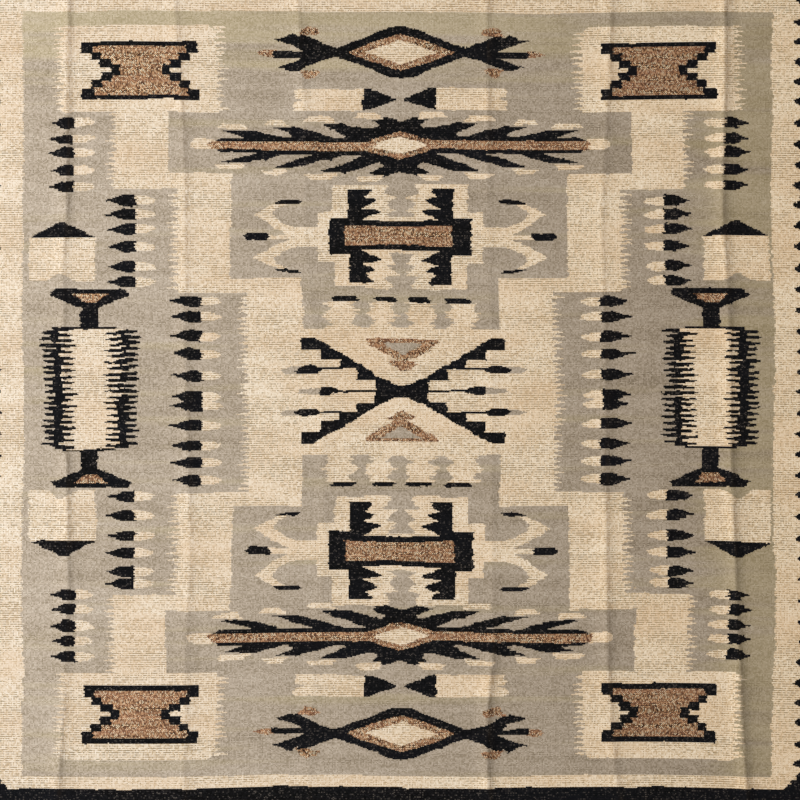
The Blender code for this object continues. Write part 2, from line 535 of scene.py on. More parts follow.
@dataclass(frozen=True)
class Feather:
    """A small feather: a black blade that points outward, and a cream tail.

    The outlines are drawn for a blade of the usual length.
    """

    length: float = 38.0
    usual_length: float = 38.0
    blade: Outline = ((-1, -5.5), (-1, 6), (2, 8), (14, 8), (22, 6), (29, 2.4), (38, 1),
                      (38, -1.2), (30, -2.6), (23, -5.6), (15, -8), (2, -7.6))
    tail: Outline = ((0, -6.6), (0, 6.4), (-12, 6.4), (-20, 5.6), (-26, 4.2), (-30, 1.8),
                     (-30, -1.6), (-25, -3.4), (-20, -5.4), (-12, -6.6))
    tail_at: Point = (1.5, -0.4)
    lock: Dovetail = Dovetail(1.0, (-7.0, 7.0), -3.6, 4.4, (1.0, 0.5))
    ragged: float = 3.0
    tail_ragged: float = 2.2

    def weave(self, chart: Chart, place: Place) -> None:
        """Lay the feather on the chart, its blade one way up or the other."""
        share = self.length / self.usual_length * chart.chance.uniform(0.92, 1.08)
        upside = place.turned(1, int(chart.chance.choice(BOTH_WAYS)))
        tail = upside.within(*self.tail_at)
        chart.weave(Yarn.CREAM, self.tail, tail, self.tail_ragged)
        blade = tuple((x * share, y) for x, y in self.blade)
        chart.weave(Yarn.BLACK, blade, upside, self.ragged)
        self.lock.weave(chart, Yarn.BLACK, upside)


@dataclass(frozen=True)
class CombColumn:
    """The cream column at each side of the field, between two combs of black slivers.

    A comb's slivers run in and out from its middle line by turns, so thick at their roots that
    they close up there. Their outlines count from that line, away from the column.
    """

    y: Point = (-77.5, 89.5)
    cream_x: Point = (-48.0, 48.0)
    comb_x: float = 47.0
    inward: Outline = ((6, 3.2), (-7, 2.7), (-17, 2.0), (-25, 0.9), (-25, -0.7), (-16, -1.9),
                       (-8, -2.6), (6, -3.0))
    outward: Outline = ((-6, 3.2), (7, 3.0), (15, 2.4), (21, 1.2), (21, -0.9), (14, -2.4),
                        (7, -2.8), (-6, -3.2))
    pitch: float = 8.3
    sway: float = 3.4
    ragged: float = 3.0

    def weave(self, chart: Chart, place: Place) -> None:
        """Lay the column and both combs on the chart."""
        chart.block(Yarn.CREAM, self.cream_x, self.y, place)
        for face_x in BOTH_WAYS:
            side = place.turned(face_x, 1)
            for sliver, start in ((self.inward, 0.3), (self.outward, 0.75)):
                y = self.y[0] + self.pitch * start
                while y < self.y[1]:
                    x = self.comb_x + chart.chance.uniform(-self.sway, self.sway)
                    chart.weave(Yarn.BLACK, sliver, side.within(x, y), self.ragged)
                    y += self.pitch * chart.chance.uniform(0.85, 1.15)


@dataclass(frozen=True)
class SideMotif:
    """What stands above each comb column: a hat on a stem, and a roofed cream box.

    Sizes count from the hat's brim, the box's base and the rug's middle.
    """

    hat: Outline = ((56, -9), (46, 0), (-52, 0), (-58, -8), (-43, -14), (-30, -20),
                    (-13, -26.5), (13, -26.5), (30, -20), (43, -14))
    hat_brown: Outline = ((25, -6.5), (-25, -6.5), (-17, -13), (-9, -19.5), (9, -19.5),
                          (17, -13))
    stem_half: float = 11.3
    line_half: float = 38.0
    line_thick: float = 3.1
    box_half: float = 47.0
    notch: Outline = ((20, 0), (11, 7), (4, 12), (-3, 11.5), (-14, 3), (-22, 0))
    roof: Outline = ((-47, 0), (-29, 9.5), (-13, 17), (-5, 22.5), (3, 22.5), (12, 17), (28, 10),
                     (47, 0))

    def weave(self, chart: Chart, stem: Place, box: Place, levels: SideLevels) -> None:
        """Lay the hat, stem and box on the chart.

        Args:
            chart: The chart to work on.
            stem: The stem's middle line, at the height of the rug's middle.
            box: The box's middle line, at the same height.
            levels: How far up the parts stand.
        """
        hat = stem.within(0.0, levels.hat)
        chart.weave(Yarn.BLACK, self.hat, hat)
        chart.weave(Yarn.BROWN, self.hat_brown, hat)
        brim = levels.hat - 22.0
        chart.block(Yarn.BLACK, (-self.stem_half, self.stem_half), (levels.line, brim), stem)
        line = (levels.line, levels.line + self.line_thick)
        chart.block(Yarn.BLACK, (-self.line_half, self.line_half), line, stem)
        half = self.box_half
        chart.block(Yarn.CREAM, (-half, half), (levels.box_base, levels.box_top), box)
        chart.weave(Yarn.GREY, self.notch, box.within(0.0, levels.box_base))
        chart.weave(Yarn.BLACK, self.roof, box.within(0.0, levels.box_top))


@dataclass(frozen=True)
class Waterbug:
    """The waterbug at each end: a banded lozenge with two crossed claws at each side."""

    black: Outline = ((110, 0), (85, 8.5), (42, 24), (17, 35), (0, 37.5), (-17, 35), (-42, 24),
                      (-85, 8.5), (-110, 0), (-85, -8.5), (-42, -24), (-19, -35), (0, -37),
                      (19, -35), (42, -24), (85, -8.5))
    brown: Outline = ((76, 0), (42, 14), (0, 26), (-42, 14), (-76, 0), (-42, -13.5), (0, -26),
                      (42, -13.5))
    cream: Outline = ((51, 0), (25, 9), (0, 17.5), (-25, 9), (-51, 0), (-25, -8.5), (0, -17.5),
                      (25, -8.5))
    upper_claw: Outline = ((87, 5), (113, 14), (131, 22), (141, 24), (143, 20.5), (152, 26),
                           (168, 19), (179, 17.5), (166, 12.5), (150, 7.5), (138, 2),
                           (101, -8.5))
    lower_claw: Outline = ((87, -5), (113, -11.5), (131, -19), (142, -25), (147, -26),
                           (158, -26.5), (175, -21), (165, -17), (152, -13.5), (138, -6.5),
                           (101, 7))
    middle_claw: tuple[Point, Point] = ((118, 180), (-7.5, 1.5))
    upper_tip: Outline = ((145, 22.5), (140, 31), (131, 36), (118, 33), (113, 24))
    lower_tip: Outline = ((145, -25.5), (135, -37.5), (124, -36), (114, -28), (121, -24))
    middle_tip: Outline = ((176, -6), (176, 3), (190, 3.5), (200, 1), (203, -1.5), (190, -6))

    def weave(self, chart: Chart, place: Place) -> None:
        """Lay the waterbug on the chart."""
        for face_x in BOTH_WAYS:
            side = place.turned(face_x, 1)
            chart.weave(Yarn.BROWN, self.upper_tip, side, 1.7)
            chart.weave(Yarn.BROWN, self.lower_tip, side, 1.7)
            chart.weave(Yarn.BROWN, self.middle_tip, side, 1.7)
            chart.weave(Yarn.BLACK, self.upper_claw, side)
            chart.weave(Yarn.BLACK, self.lower_claw, side)
            chart.block(Yarn.BLACK, *self.middle_claw, side)
        chart.weave(Yarn.BLACK, self.black, place)
        chart.weave(Yarn.BROWN, self.brown, place)
        chart.weave(Yarn.CREAM, self.cream, place)


@dataclass(frozen=True)
class Arrow:
    """A short arrow: a black head towards the middle, and a frayed cream tail."""

    tail: tuple[Point, Point] = ((52, 150), (-15.5, 15.5))
    frays: Outline = ((155, 16), (147, 15), (151, 11), (147, 3.5), (134, 1.5), (147, -1.5),
                      (150, -5.5), (145, -10), (150, -16), (155, -16))
    head: Outline = ((52, 15.5), (39.5, 15), (31, 10.5), (17, 5.5), (5.5, 1.5), (7, -1.5),
                     (20, -6.5), (34, -12), (42.5, -14), (52, -15))

    def weave(self, chart: Chart, place: Place) -> None:
        """Lay the arrow on the chart."""
        chart.block(Yarn.CREAM, *self.tail, place)
        chart.weave(Yarn.GREY, self.frays, place)
        chart.weave(Yarn.BLACK, self.head, place)


@dataclass(frozen=True)
class FeatheredBar:
    """The long brown bar with black plumes along both sides and a cream lozenge in it."""

    plumes: tuple[Outline, ...] = (
        ((252, 20.5), (227, 21), (206, 22), (192, 17.5), (166, 12.5), (155, 4), (211, 7),
         (218.5, 10.5), (240, 17)),
        ((178, 26), (163.5, 25.5), (146.5, 27.5), (135, 23), (115.5, 19.5), (96, 14), (82, 4),
         (146.5, 4), (158, 11), (149.5, 14), (158, 19)),
        ((110, 30.5), (96, 31), (80, 31.5), (63.5, 27.5), (48, 24), (20, 24), (22.5, 4), (84.5, 4),
         (87.5, 11), (76, 14), (90, 21)),
        ((41, 34.5), (29.5, 36.5), (22.5, 40), (14, 39), (0, 33), (0, 11), (48, 8.5), (39.5, 20),
         (34, 25), (31, 29.5)),
        ((251, -24.5), (240, -21), (221, -17), (204.5, -12.5), (169, -5.5), (135, -5.5),
         (172, -13.5), (180.5, -17), (200, -22), (214, -25), (242.5, -26)),
        ((179, -30.5), (162, -25.5), (152, -21), (138, -17.5), (120, -12.5), (70.5, -5.5),
         (62, -8.5), (80, -12.5), (98.5, -18.5), (127, -26), (144, -31), (169, -31.5)),
        ((113, -36.5), (101.5, -31.5), (91.5, -27.5), (77.5, -24), (62, -17), (28, -5.5),
         (22.5, -22.5), (45, -29), (70.5, -36.5), (91.5, -38)),
        ((41, -39.5), (31, -33), (21, -29.5), (0, -20), (0, -38), (14, -41.5), (22.5, -45),
         (32.5, -43)),
    )
    stem_black: Outline = ((264, 6.5), (254, 10.5), (0, 13.5), (0, -13.5), (254, -11.5),
                           (262, -6.5))
    slivers: tuple[tuple[float, float, float, float], ...] = (
        (213, 261, 22, 31), (158, 194.5, 27.5, 37), (89, 134, 32, 41), (24, 65, 36, 46.5),
        (218.5, 262, -26.5, -35), (158, 197.5, -32.5, -41), (89, 132.5, -39, -48),
        (24, 63.5, -42.5, -52))
    end_cream: Outline = ((265, -7), (265, 8.5), (290, 8.5), (298, 4.5), (298, -3), (290, -7))
    lozenge_black: Outline = ((0, 34), (20, 27), (48, 10), (56.5, 0), (48, -10), (20, -31),
                              (0, -36.5))
    brown: Outline = ((0, 19.5), (22.5, 13.5), (46.5, 6), (268, 6), (271, 0), (268, -6),
                      (46.5, -6), (22.5, -13.5), (0, -21))
    cream: Outline = ((0, 12), (22.5, 6.5), (39.5, 0), (22.5, -6.5), (0, -12))

    def weave(self, chart: Chart, place: Place) -> None:
        """Lay the bar on the chart."""
        for face_x in BOTH_WAYS:
            side = place.turned(face_x, 1)
            for plume in self.plumes:
                chart.weave(Yarn.BLACK, plume, side, 2.4)
            chart.weave(Yarn.BLACK, self.stem_black, side)
            for x_from, x_to, near, far in self.slivers:
                middle = near + (far - near) / 4
                sliver = ((x_from, near), (x_to, middle), (x_to - 8, far), (x_from + 8, far))
                chart.weave(Yarn.CREAM, sliver, side, 2.0)
            chart.weave(Yarn.CREAM, self.end_cream, side)
            chart.weave(Yarn.BLACK, self.lozenge_black, side)
            chart.weave(Yarn.BROWN, self.brown, side)
            chart.weave(Yarn.CREAM, self.cream, side)


@dataclass(frozen=True)
class ToothedCross:
    """The black cross with toothed arms, on cream, with a brown bar and two antlers."""

    cream: Outline = ((0, 26), (22.5, 27.5), (8.5, 35), (21, 43.5), (6.5, 54.5), (24, 58),
                      (20, 72.5), (96, 72.5), (96, 34.5), (117, 34.5), (117, -36.5),
                      (93.5, -36.5), (93.5, -72), (53.5, -72), (53.5, -75), (18.5, -75),
                      (14, -69), (27, -57), (3.5, -55.5), (21, -41.5), (8.5, -39),
                      (18.5, -24.5), (0, -24))
    black: Outline = ((0, 20), (31, 20), (31, 22), (56, 22), (45, 26), (27, 33), (35, 36.5),
                      (58, 38), (42, 43.5), (34, 49.5), (42, 53.5), (53, 55.5), (45, 59),
                      (41, 66.5), (75, 66.5), (75, 25.5), (101, 25.5), (101, -27), (72.5, -27),
                      (72.5, -66.5), (39.5, -66.5), (42, -62), (52, -53), (43.5, -51.5),
                      (35, -50), (45, -43.5), (53.5, -41.5), (36.5, -36.5), (27, -34.5),
                      (42, -27), (55.5, -20.5), (0, -20))
    bar_x: Point = (-77.5, 74.0)
    bar_half: float = 14.2
    bar_lip_half: float = 12.2
    bar_lip_x: Point = (-37.0, 34.0)

    def weave(self, chart: Chart, place: Place) -> None:
        """Lay the cross on the chart."""
        for face_x in BOTH_WAYS:
            side = place.turned(face_x, 1)
            chart.weave(Yarn.CREAM, self.cream, side, 2.0)
            chart.weave(Yarn.BLACK, self.black, side, 1.3)
        chart.block(Yarn.BROWN, self.bar_x, (-self.bar_half, self.bar_half), place)
        for face_y in BOTH_WAYS:
            lip = (self.bar_lip_half, self.bar_half + 0.5)
            chart.block(Yarn.BLACK, self.bar_lip_x, lip, place.turned(1, face_y))


@dataclass(frozen=True)
class Antler:
    """The cream antler at each side of a cross, with its three black tips."""

    arm: tuple[Point, Point] = ((111, 158), (-14, 13.3))
    hooks: tuple[Outline, ...] = (
        ((148, 13.3), (168, 20), (179, 30.5), (180.5, 35), (172, 41.5), (162, 46), (177.5, 47.5),
         (190, 41), (206, 31.5), (193, 24), (176, 11.5), (158, 3.5), (148, 3)),
        ((148, -14), (165, -20), (177.5, -28), (179, -34), (172, -39.5), (162, -44.5),
         (175, -44.5), (193, -36.5), (207, -29), (194.5, -20), (177.5, -11.5), (158, -4.5),
         (148, -4)),
    )
    middle: tuple[Point, Point] = ((141, 189), (-3.5, 3.5))
    bulb: Outline = ((186, 6), (217, 6), (220, 1.5), (216, -4.5), (190, -5), (185, 0))
    dashes: tuple[Outline, ...] = (
        ((138, 51), (144, 46.5), (169, 46), (182, 48), (169, 52.5), (146.5, 52.5)),
        ((139.5, -51.5), (146.5, -47), (169, -45), (180.5, -46), (163.5, -49.5), (152, -51.5)),
    )

    def weave(self, chart: Chart, place: Place) -> None:
        """Lay the antler on the chart."""
        chart.block(Yarn.CREAM, *self.arm, place)
        for hook in self.hooks:
            chart.weave(Yarn.CREAM, hook, place, 2.0)
        chart.block(Yarn.CREAM, *self.middle, place)
        chart.weave(Yarn.BLACK, self.bulb, place)
        for dash in self.dashes:
            chart.weave(Yarn.BLACK, dash, place)


@dataclass(frozen=True)
class DashedBlocks:
    """Four cream blocks at each end of the centre cross, each under a short black dash.

    They hang together at the foot, and frayed grey gaps part them above it.
    """

    band: Outline = ((-110, 127), (-103, 118), (-111, 108), (-102, 98), (-108, 87), (108, 87),
                     (102, 98), (112, 108), (103, 118), (110, 127))
    gap: Outline = ((7, 128), (16, 120), (9, 115), (5, 109), (12, 104), (17, 98), (8, 91),
                    (-8, 91), (-17, 98), (-12, 104), (-5, 109), (-9, 115), (-16, 120), (-7, 128))
    gaps_x: tuple[float, ...] = (-56.0, 0.5, 57.5)
    dashes_x: tuple[Point, ...] = ((-101.5, -60.5), (-41, -5.5), (7, 43.5), (60.5, 101.5))
    dash_y: float = 133.0
    ragged: float = 4.5

    def weave(self, chart: Chart, place: Place) -> None:
        """Lay the blocks, the gaps and the dashes on the chart."""
        chart.weave(Yarn.CREAM, self.band, place, self.ragged)
        for x in self.gaps_x:
            chart.weave(Yarn.GREY, self.gap, place.within(x, 0.0), self.ragged)
        y = self.dash_y
        for left, right in self.dashes_x:
            dash = ((left, y - 1.5), (left + 4, y + 0.5), (right - 5.5, y + 0.5),
                    (right, y - 3.5), (right - 2, y - 5.8), (left + 6, y - 5.8))
            chart.weave(Yarn.BLACK, dash, place, 2.0)


@dataclass(frozen=True)
class CentreCross:
    """The black cross of the middle: stepped arms, bulbs on lines, and brown triangles."""

    arm: Outline = ((0, 0), (0, 8), (10, 9.5), (22, 15.5), (34, 21), (45, 28), (57, 35),
                    (69, 42.5), (92, 55.5), (116, 69), (127, 75.5), (144.5, 75.5), (145, 58.5),
                    (117, 58.5), (117, 43.5), (90, 43.5), (90, 31), (63.5, 31), (63.5, 16),
                    (38, 16), (38, 0))
    line: tuple[Point, Point] = ((84.5, 127), (29.5, 32.5))
    bulb: Outline = ((114, 29.5), (120, 33), (125, 35.5), (142, 35.5), (150, 32.5), (155, 29),
                     (148, 25), (124, 24.5))
    bulb_tail: Outline = ((148, 31), (146.5, 34), (166.5, 34), (176, 31), (166.5, 26),
                          (147, 25.5))
    middle_line: tuple[Point, Point] = ((38, 95), (-0.4, 2.6))
    middle_bulb: Outline = ((92, -1.5), (92, 4), (103, 6.5), (118, 6.5), (118, -5), (103, -5))
    middle_tail: Outline = ((118, -4), (118, 5.5), (130, 4), (148, 3.5), (148, -1.5), (130, -4))
    triangle: Outline = ((-52, 73), (52, 73), (52, 70), (43.5, 62), (18.5, 48), (5, 41.5),
                         (-5, 41.5), (-18.5, 48), (-43.5, 62), (-52, 70))
    triangle_grey: Outline = ((-27, 67.5), (27, 67.5), (17, 60.5), (1.5, 50.5), (-1.5, 50.5),
                              (-17, 60.5))
    chevron: Outline = ((-15.5, 42), (15.5, 42), (21, 38.5), (11.5, 33), (1.5, 28), (-1.5, 28),
                        (-11.5, 33), (-21, 38.5))

    def weave(self, chart: Chart, place: Place) -> None:
        """Lay the cross on the chart."""
        for face_x in BOTH_WAYS:
            for face_y in BOTH_WAYS:
                quarter = place.turned(face_x, face_y)
                chart.weave(Yarn.BLACK, self.arm, quarter, 1.8)
                chart.block(Yarn.BLACK, *self.line, quarter)
                chart.weave(Yarn.GREY, self.bulb_tail, quarter)
                chart.weave(Yarn.BLACK, self.bulb, quarter)
            side = place.turned(face_x, 1)
            chart.weave(Yarn.GREY, self.middle_tail, side)
            chart.block(Yarn.BLACK, *self.middle_line, side)
            chart.weave(Yarn.BLACK, self.middle_bulb, side)
        for face_y in BOTH_WAYS:
            end = place.turned(1, face_y)
            chart.weave(Yarn.BROWN, self.triangle, end, 2.0)
            chart.weave(Yarn.GREY, self.triangle_grey, end, 2.0)
            chart.weave(Yarn.BROWN, self.chevron, end, 2.0)


@dataclass(frozen=True)
class SideLevels:
    """How far from the rug's middle the parts of a side motif stand."""

    line: float
    hat: float
    box_base: float
    box_top: float


@dataclass(frozen=True)
class HalfLayout:
    """How far from the pattern's middle the motifs of the far or the near half lie."""

    face_y: int
    waterbug: float
    arrow: float
    bar: float
    cross: float
    cross_stretch: float
    side: SideLevels
    outer_feathers: tuple[float, ...]
    panel_feathers: tuple[float, ...]
    inner_feathers: tuple[float, ...]


FAR_HALF = HalfLayout(
    face_y=1, waterbug=480.0, arrow=413.0, bar=348.5, cross=219.5, cross_stretch=1.0,
    side=SideLevels(line=89.5, hat=146.0, box_base=157.0, box_top=219.0),
    outer_feathers=(380.0, 358.0, 338.5, 313.5, 291.0),
    panel_feathers=(270.0, 251.0, 230.5, 206.5, 178.5, 157.0),
    inner_feathers=(129.0, 107.0, 79.0, 53.5, 23.5, -5.0),
)
NEAR_HALF = HalfLayout(
    face_y=-1, waterbug=481.5, arrow=414.0, bar=346.0, cross=224.0, cross_stretch=1.055,
    side=SideLevels(line=77.5, hat=134.5, box_base=137.5, box_top=209.5),
    outer_feathers=(285.5, 306.5, 329.0, 349.0, 371.0),
    panel_feathers=(146.0, 172.5, 202.5, 226.5, 253.0, 270.0),
    inner_feathers=(18.5, 46.0, 74.0, 98.5, 123.5),
)


@dataclass(frozen=True)
class StormPattern:
    """The whole pattern: a middle, four corner boxes, and terraces that join them to it."""

    middle: Point = (2.8, 2.1)
    halves: tuple[HalfLayout, ...] = (FAR_HALF, NEAR_HALF)
    outer_feather_x: float = 461.0
    outer_feather: Feather = Feather(32.0)
    panel_feather_x: float = 376.0
    panel_feather: Feather = Feather(38.0)
    inner_feather_x: float = 283.0
    inner_feather: Feather = Feather(41.0)
    stem_x: float = 438.0
    box_x: float = 477.0

    def feathers(self, half: HalfLayout) -> Iterator[tuple[Feather, Point]]:
        """The feathers of one half, and where they stand from the middle."""
        columns = (
            (self.outer_feather, self.outer_feather_x, half.outer_feathers),
            (self.panel_feather, self.panel_feather_x, half.panel_feathers),
            (self.inner_feather, self.inner_feather_x, half.inner_feathers),
        )
        for feather, x, heights in columns:
            for y in heights:
                yield feather, (x, y * half.face_y)

    def weave(self, chart: Chart) -> None:
        """Lay the whole pattern on the chart."""
        Borders().weave(chart, Place())
        middle = Place(*self.middle)
        for half in self.halves:
            for face_x in BOTH_WAYS:
                Terrace().weave(chart, middle.turned(face_x, half.face_y))
        for half in self.halves:
            for face_x in BOTH_WAYS:
                CornerBox().weave(chart, middle.turned(face_x, half.face_y))
        for half in self.halves:
            self.weave_half(chart, middle, half)
        CentreCross().weave(chart, middle.within(1.7, 2.1))
        chart.beat_in()

    def weave_half(self, chart: Chart, middle: Place, half: HalfLayout) -> None:
        """Lay the motifs of the far or the near half on the chart.

        Args:
            chart: The chart to work on.
            middle: The middle of the pattern.
            half: Where the half's motifs stand.
        """
        upright = middle.turned(1, half.face_y)
        Waterbug().weave(chart, upright.within(1.4, half.waterbug))
        FeatheredBar().weave(chart, upright.within(0.0, half.bar))
        at_cross = upright.within(1.4, half.cross)
        cross = Place(at_cross.x, at_cross.y, 1, half.face_y, half.cross_stretch)
        ToothedCross().weave(chart, cross)
        DashedBlocks().weave(chart, upright)
        for face_x in BOTH_WAYS:
            quarter = upright.turned(face_x, 1)
            Arrow().weave(chart, quarter.within(0.0, half.arrow))
            Antler().weave(chart, cross.turned(face_x, 1))
            for feather, at in self.feathers(half):
                feather.weave(chart, middle.turned(face_x, 1).within(*at))
            stem = quarter.within(self.stem_x, 0.0)
            box = quarter.within(self.box_x, 0.0)
            SideMotif().weave(chart, stem, box, half.side)
            if half is FAR_HALF:
                CombColumn().weave(chart, middle.turned(face_x, 1).within(self.stem_x, 0.0))


# The cloth's mesh


@dataclass(frozen=True)
class ClothMesh:
    """Turns the chart and the cloth's shape into one closed mesh.

    The joins between the yarns become edges of the mesh. Extra points stand where the shape
    bends: every half warp over a fold's crest, a few half warps apart down its sides, and
    further apart where the cloth lies flat. The steps are in half warps and in picks.
    """

    cloth: Cloth
    chart: Chart
    flat_steps: tuple[int, int] = (8, 16)
    slope_steps: tuple[int, int] = (3, 8)
    crest_steps: tuple[int, int] = (1, 8)
    corner_steps: tuple[int, int] = (1, 2)
    crest_reach: float = 4.0
    edge_faces: int = 6
    bake_margin: float = 12.0

    def flat_places(self, lattice: np.ndarray) -> np.ndarray:
        """Where lattice points lie on the flat cloth, in millimetres."""
        chart = self.chart
        return lattice * (chart.half_warp, chart.pick) - (chart.across / 2, chart.along / 2)

    def shape_lines(self) -> tuple[np.ndarray, np.ndarray]:
        """Where on the lattice the shape alone asks for points.

        Returns:
            The places that lines along the rug pass, and those that lines across it pass.
        """
        chart, cloth = self.chart, self.cloth
        row, column = np.indices((chart.rows + 1, chart.columns + 1))
        places = self.flat_places(np.stack((column, row), axis=-1))
        u, v = places[..., 0], places[..., 1]
        steps = np.empty(row.shape + (2,), int)
        steps[:] = self.flat_steps
        crest = np.zeros(row.shape, bool)
        for fold in cloth.folds:
            away = u - fold.between(v, 1)
            steps[(-fold.left_slope < away) & (away < fold.right_slope)] = self.slope_steps
            crest |= (-self.crest_reach < away) & (away < self.crest_reach + fold.soil_and_shade_away)
        steps[crest] = self.crest_steps
        side_u = cloth.face_across / 2 - cloth.corner_radius
        side_v = cloth.face_along / 2 - cloth.corner_radius
        steps[(np.abs(u) > side_u) & (np.abs(v) > side_v)] = self.corner_steps
        along = (column % steps[..., 0] == 0) | (column == chart.columns)
        across = (row % steps[..., 1] == 0) | (row == chart.rows)
        return along, across

    def lattice(self) -> tuple[np.ndarray, np.ndarray]:
        """Where the mesh has points on the chart's lattice, and the edges it has to keep.

        Returns:
            The column and row of each point, and pairs of points that a join runs between.
        """
        framed = np.pad(self.chart.cells, 1, constant_values=-1)
        level = framed[1:, 1:-1] != framed[:-1, 1:-1]
        upright = framed[1:-1, 1:] != framed[1:-1, :-1]
        shape = (self.chart.rows + 1, self.chart.columns + 1)
        left, right, down, up = (np.zeros(shape, bool) for _ in range(4))
        left[:, 1:] = level
        right[:, :-1] = level
        down[1:, :] = upright
        up[:-1, :] = upright
        straight = (left & right & ~down & ~up) | (down & up & ~left & ~right)
        kept = (left | right | down | up) & ~straight
        line_along, line_across = self.shape_lines()
        kept |= left & right & line_along
        kept |= down & up & line_across
        kept |= line_along & line_across
        number = np.full(shape, -1)
        at_row, at_column = np.nonzero(kept)
        number[at_row, at_column] = np.arange(len(at_row))
        same = at_row[1:] == at_row[:-1]
        joined = same & right[at_row[:-1], at_column[:-1]]
        across = np.column_stack((np.nonzero(joined)[0], np.nonzero(joined)[0] + 1))
        by_column, by_row = np.nonzero(kept.T)
        order = number[by_row, by_column]
        same = by_column[1:] == by_column[:-1]
        joined = same & up[by_row[:-1], by_column[:-1]]
        along = np.column_stack((order[:-1][joined], order[1:][joined]))
        return np.column_stack((at_column, at_row)), np.concatenate((across, along))

    def triangles(self) -> tuple[np.ndarray, np.ndarray, np.ndarray]:
        """Divide the chart into triangles that never cross a join.

        Returns:
            The lattice points, the triangles anticlockwise, and each triangle's yarn.
        """
        points, edges = self.lattice()
        vectors = [Vector((float(column), float(row))) for column, row in points]
        pairs = [(int(a), int(b)) for a, b in edges]
        result = delaunay_2d_cdt(vectors, pairs, [], 0, 1e-5, False)
        places = np.rint(np.array([tuple(vector) for vector in result[0]])).astype(int)
        corners = np.array(result[2])
        a, b, c = (places[corners[:, i]] for i in range(3))
        turn = (b[:, 0] - a[:, 0]) * (c[:, 1] - a[:, 1]) - (b[:, 1] - a[:, 1]) * (c[:, 0] - a[:, 0])
        corners[turn < 0] = corners[turn < 0][:, ::-1]
        corners = corners[turn != 0]
        centres = places[corners].mean(axis=1)
        yarns = self.chart.cells[centres[:, 1].astype(int), centres[:, 0].astype(int)]
        return places, corners, yarns

    def rim(self, places: np.ndarray) -> np.ndarray:
        """The points round the edge of the cloth, anticlockwise as seen from above."""
        column, row = places[:, 0], places[:, 1]
        last_column, last_row = self.chart.columns, self.chart.rows
        near = np.nonzero((row == 0) & (column < last_column))[0]
        right = np.nonzero((column == last_column) & (row < last_row))[0]
        far = np.nonzero((row == last_row) & (column > 0))[0]
        left = np.nonzero((column == 0) & (row > 0))[0]
        return np.concatenate((
            near[np.argsort(column[near])], right[np.argsort(row[right])],
            far[np.argsort(-column[far])], left[np.argsort(-row[left])]))

    def make(self, name: str) -> bpy.types.Object:
        """Build the cloth's mesh and its two UV maps.

        Args:
            name: The name of the piece.

        Returns:
            The object, linked to the scene, with no materials yet.
        """
        cloth = self.cloth
        places, corners, yarns = self.triangles()
        flat = self.flat_places(places)
        under = cloth.lie(flat[:, 0], flat[:, 1])
        top = under + (0.0, 0.0, cloth.thickness)
        count = len(places)
        rim = self.rim(places)
        before, after = under[np.roll(rim, 1)], under[np.roll(rim, -1)]
        along = after[:, :2] - before[:, :2]
        along /= np.linalg.norm(along, axis=1)[:, None]
        outward = np.column_stack((along[:, 1], -along[:, 0]))
        points, flats = [top, under], [flat, flat]
        rings = [rim]
        radius = cloth.edge_radius
        for step in range(1, self.edge_faces):
            angle = math.pi * (0.5 - step / self.edge_faces)
            ring = under[rim] + (0.0, 0.0, radius * (1 + math.sin(angle)))
            ring[:, :2] += outward * radius * math.cos(angle)
            points.append(ring)
            flats.append(flat[rim] + outward * radius * math.cos(angle))
            rings.append(2 * count + (step - 1) * len(rim) + np.arange(len(rim)))
        rings.append(rim + count)
        quads = [
            np.column_stack((upper, lower, np.roll(lower, -1), np.roll(upper, -1)))
            for upper, lower in zip(rings, rings[1:])
        ]
        faces = corners.tolist() + (corners[:, ::-1] + count).tolist()
        faces += np.concatenate(quads).tolist()
        mesh = bpy.data.meshes.new(name)
        positions = np.concatenate(points)
        mesh.from_pydata((positions * MM).tolist(), [], faces)
        edge_yarn = np.full(len(faces) - 2 * len(corners), Yarn.BLACK)
        mesh.polygons.foreach_set("material_index", np.concatenate((yarns, yarns, edge_yarn)))
        mesh.shade_smooth()
        self.add_map(mesh, BAKE_MAP, positions[:, :2] / self.bake_side() + 0.5)
        flats_all = np.concatenate(flats)
        self.add_map(mesh, WEAVE_MAP, (flats_all + cloth.across / 2) * MM)
        # The dirt and painted shade on the folds' right flanks, for the wools' nodes.
        soil_and_shade = sum(fold.soil_and_shade(flats_all[:, 0], flats_all[:, 1]) for fold in cloth.folds)
        layer = mesh.attributes.new(SOIL_AND_SHADE_LAYER, "FLOAT", "POINT")
        layer.data.foreach_set("value", soil_and_shade.astype(np.float32))
        piece = bpy.data.objects.new(name, mesh)
        bpy.context.scene.collection.objects.link(piece)
        return piece

    def bake_side(self) -> float:
        """The side of the square that the bake map lays over the rug."""
        return self.cloth.across + 2 * self.bake_margin

    def add_map(self, mesh: bpy.types.Mesh, name: str, places: np.ndarray) -> None:
        """Give the mesh a UV map with one place for each point."""
        corner_points = np.empty(len(mesh.loops), np.int32)
        mesh.loops.foreach_get("vertex_index", corner_points)
        layer = mesh.uv_layers.new(name=name)
        layer.uv.foreach_set("vector", places[corner_points].astype(np.float32).ravel())


# The wools


def linear_colour(hex_colour: str) -> tuple[float, float, float, float]:
    """Turn an sRGB hex colour into the linear one that a shader takes.

    Args:
        hex_colour: Six hex digits, with or without a leading hash sign.

    Returns:
        Linear red, green and blue, and 1 for alpha.
    """
    digits = hex_colour.lstrip("#")
    shares = [int(digits[i:i + 2], 16) / 255 for i in (0, 2, 4)]
    linear = [s / 12.92 if s <= 0.04045 else ((s + 0.055) / 1.055) ** 2.4 for s in shares]
    return linear[0], linear[1], linear[2], 1.0


